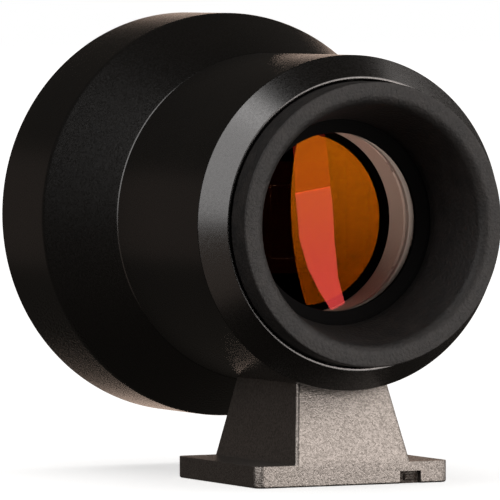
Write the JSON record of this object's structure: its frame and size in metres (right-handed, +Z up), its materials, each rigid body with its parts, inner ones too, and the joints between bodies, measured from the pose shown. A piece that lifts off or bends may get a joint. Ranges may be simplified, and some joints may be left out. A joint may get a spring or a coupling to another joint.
{
  "type": "optical viewfinder",
  "caption": "External bright-line viewfinder for a camera: round black barrel with flared bell, rubber eyecup and a cast accessory-shoe foot that slides into the hot shoe.",
  "frame": {"origin": "centre of the shoe foot's underside", "axes": "+Z up, +Y along the optical axis the way the finder looks, so the eyepiece is at -Y; +X to the right of someone looking through it"},
  "size_m": [0.0362, 0.0393, 0.0409],
  "materials": {
    "black_anodised": "satin",
    "foot_casting": "black-finished fine casting, satin",
    "matte_black": "matte",
    "cell_tube_grey": "matte",
    "eyecup_rubber": "matte",
    "seal_rubber": "matte",
    "steel_screw": "blackened",
    "eye_glass": "coated",
    "front_glass": "coated",
    "inner_glass": "coated",
    "amber_mirror": "amber semi-mirror coating"
  },
  "bodies": {
    "root": {"shoe_foot": "foot_casting", "foot_screws": "steel_screw", "rear_barrel": "black_anodised", "front_bell": "black_anodised", "objective_baffle": "matte_black", "front_lens_seal": "seal_rubber", "front_lens": "front_glass", "front_retaining_ring": "matte_black", "field_mask": "matte_black", "mask_ring": "matte_black", "second_lens": "inner_glass", "second_lens_ring": "matte_black", "eyepiece_cell": "matte_black", "cell_ring_nut": "matte_black", "eyepiece_ring": "matte_black", "eyepiece_lens": "eye_glass", "plate_spacer": "matte_black", "frame_plate": "eye_glass", "cell_tube": "cell_tube_grey", "mirror_ring": "matte_black", "mirror_lens": "amber_mirror", "eyecup": "eyecup_rubber"}
  },
  "joints": []
}
